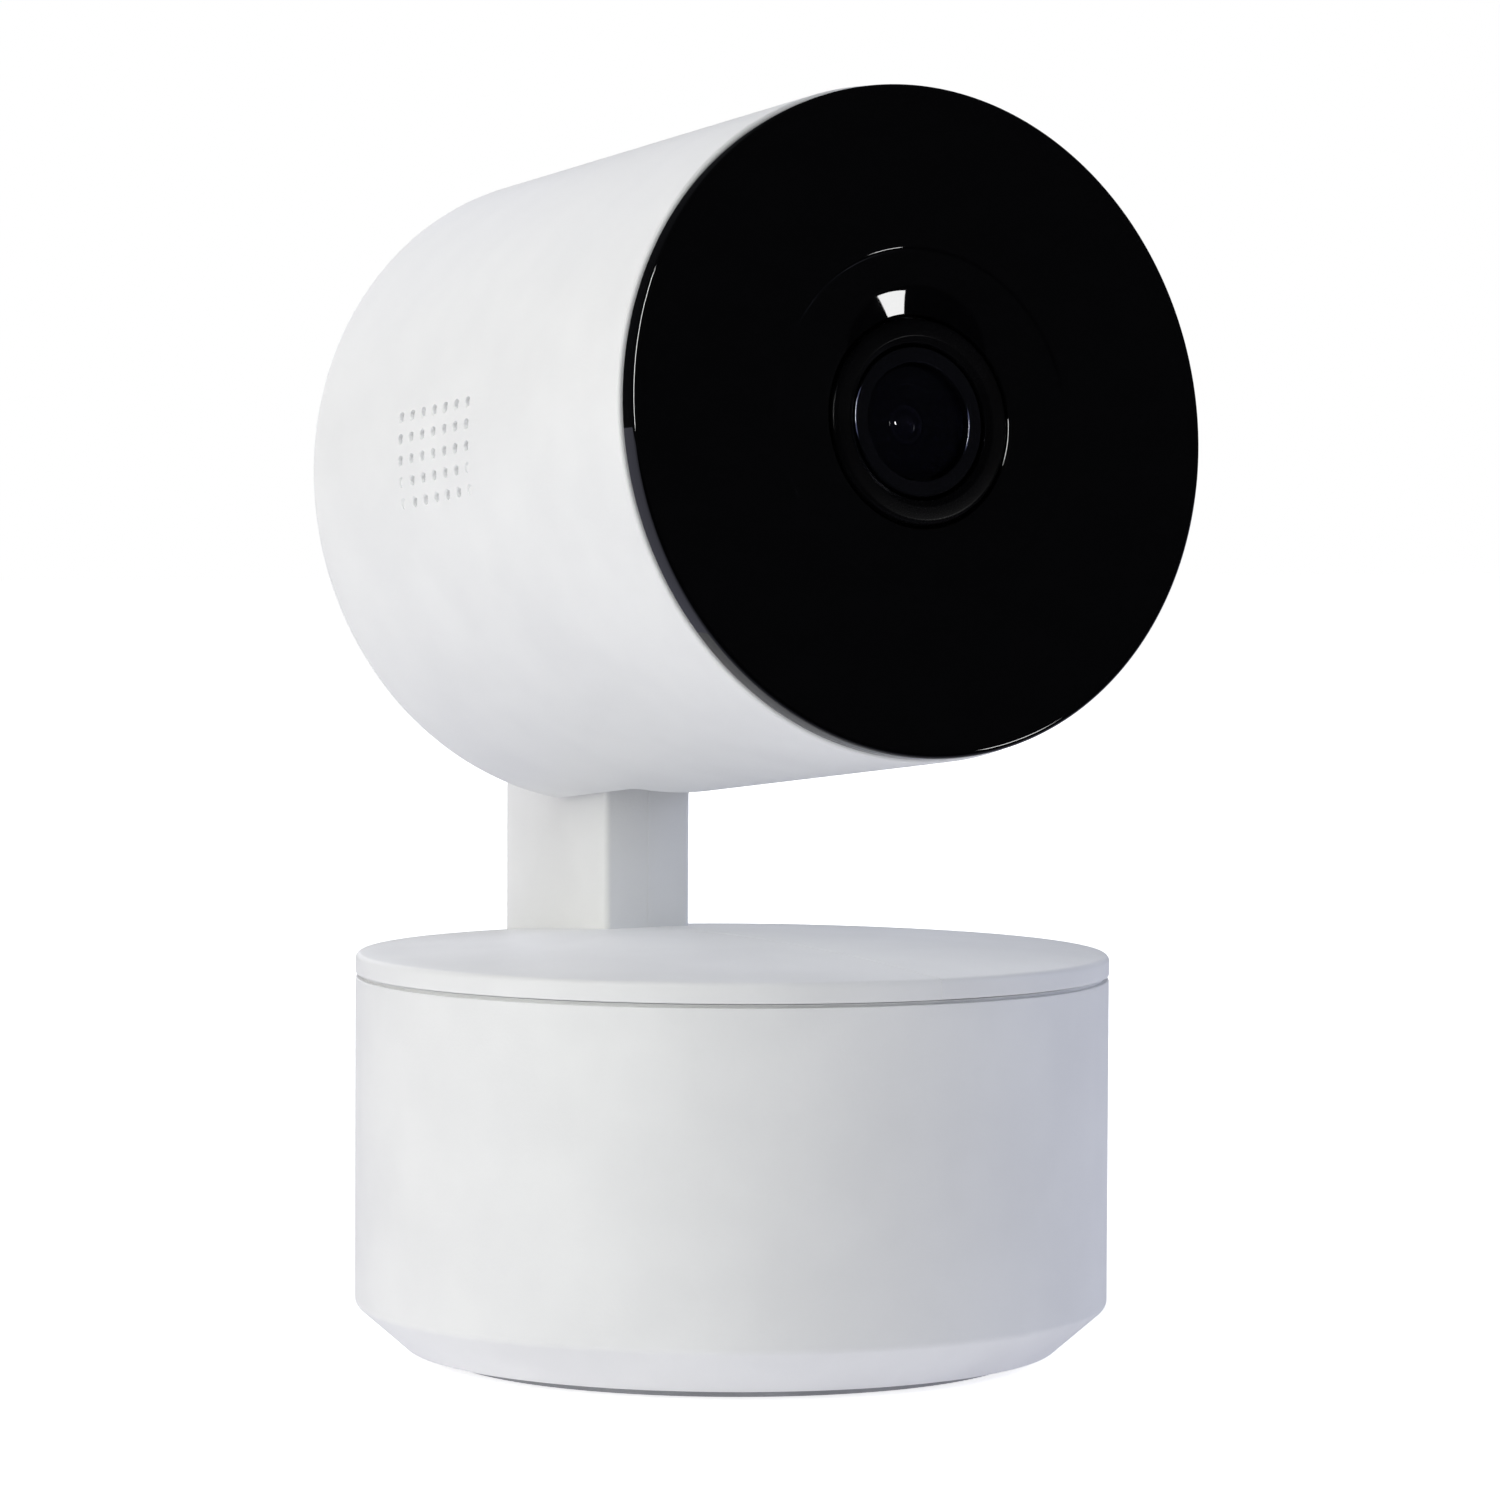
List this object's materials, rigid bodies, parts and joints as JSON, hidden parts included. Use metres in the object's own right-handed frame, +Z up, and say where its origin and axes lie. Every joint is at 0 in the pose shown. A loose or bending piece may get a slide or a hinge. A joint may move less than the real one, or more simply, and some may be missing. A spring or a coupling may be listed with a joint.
{
  "type": "pan-tilt indoor camera",
  "caption": "Pan-tilt indoor camera: a white cylindrical head with a gloss black front tilts on a flat stem that turns on a round base.",
  "frame": {"origin": "centre of the foot pad's underside, on the pan axis", "axes": "+Z up along the pan axis, -Y towards the lens, +X to the right of someone facing the lens from the front"},
  "size_m": [0.068, 0.068, 0.1131],
  "materials": {
    "white_shell": "matt moulded white with a very fine texture",
    "gloss_black": "polished black window, clear to infrared",
    "satin_black": "satin black anti-reflection finish",
    "grey_rubber": "soft matt grey non-slip rubber",
    "grey_plastic": "plain moulded grey",
    "acetal": "natural acetal, slightly waxy",
    "steel": "plated steel can and ground shafts",
    "zinc_screw": "zinc-plated",
    "bronze": "sintered bronze and copper winding",
    "circuit_board": "green solder mask",
    "chip_black": "black moulding compound",
    "socket_metal": "bright nickel-plated shell",
    "lens_glass": "coated optical glass with a faint violet reflection",
    "filter_glass": "blue-tinted infrared filter glass",
    "led_lens": "clear moulded dome",
    "flex_cable": "amber polyimide",
    "foam": "closed-cell foam"
  },
  "bodies": {
    "base": {"foot_pad": "grey_rubber", "bottom_cover": "white_shell", "base_screw_1": "zinc_screw", "base_screw_2": "zinc_screw", "base_screw_3": "zinc_screw", "base_screw_4": "zinc_screw", "base_shell": "white_shell", "base_deck": "grey_plastic", "pan_motor": "steel", "base_board": "circuit_board", "usb_socket": "socket_metal"},
    "turntable": {"turntable_left": "white_shell", "turntable_right": "white_shell", "pan_hub": "acetal", "pan_gear": "acetal", "hub_clip": "steel", "hub_screw_left": "zinc_screw", "hub_screw_right": "zinc_screw", "stem_screw": "zinc_screw", "flex_cable": "flex_cable", "tilt_axle": "steel", "tilt_gear": "acetal"},
    "pan_drive": {"pan_pinion": "acetal", "pan_motor_shaft": "steel"},
    "head": {"head_shell": "white_shell", "front_panel": "gloss_black", "front_frame": "grey_plastic", "lamp_board": "circuit_board", "ir_lamp_1": "led_lens", "ir_lamp_2": "led_lens", "ir_lamp_3": "led_lens", "ir_lamp_4": "led_lens", "microphone": "socket_metal", "lens_ring": "satin_black", "lens_barrel": "satin_black", "front_lens": "lens_glass", "lens_baffle": "satin_black", "inner_lens": "lens_glass", "lens_holder": "satin_black", "filter_coil": "bronze", "sensor_board": "circuit_board", "image_sensor": "chip_black", "tilt_bracket": "grey_plastic", "bracket_screw_1": "zinc_screw", "bracket_screw_2": "zinc_screw", "bush_left": "bronze", "bush_right": "bronze", "tilt_motor": "steel", "main_board": "circuit_board", "processor": "chip_black", "card_socket": "socket_metal", "reset_switch": "chip_black", "speaker": "chip_black", "speaker_gasket": "foam", "antenna": "flex_cable"},
    "tilt_drive": {"tilt_pinion": "acetal", "tilt_motor_shaft": "steel"},
    "filter_slide": {"filter_carrier": "satin_black", "ir_cut_filter": "filter_glass"},
    "reset": {"reset_button": "grey_plastic"}
  },
  "joints": [
    {"name": "pan", "type": "hinge", "parent": "base", "child": "turntable", "pos_m": [0, 0, 0.036], "axis": [0, 0, 1], "range_deg": [-170, 170]},
    {"name": "pan_pinion_spin", "type": "hinge", "parent": "base", "child": "pan_drive", "pos_m": [0, -0.018, 0.032], "axis": [0, 0, 1], "range_deg": [-681, 681]},
    {"name": "tilt", "type": "hinge", "parent": "turntable", "child": "head", "pos_m": [0, 0.01429, 0.06671], "axis": [-1, 0, 0], "range_deg": [-18, 50]},
    {"name": "tilt_pinion_spin", "type": "hinge", "parent": "head", "child": "tilt_drive", "pos_m": [0, 0.00662, 0.07388], "axis": [-1, 0, 0], "range_deg": [-46, 126]},
    {"name": "filter_shift", "type": "slide", "parent": "head", "child": "filter_slide", "axis": [1, 0, 0], "range_m": [0, 0.0068]},
    {"name": "reset_press", "type": "slide", "parent": "head", "child": "reset", "axis": [0, -0.9942, 0.108], "range_m": [0, 0.0005]}
  ],
  "couplings": [
    {"joint": "pan_pinion_spin", "follows": "pan", "ratio": -4},
    {"joint": "tilt_pinion_spin", "follows": "tilt", "ratio": 2.5}
  ]
}
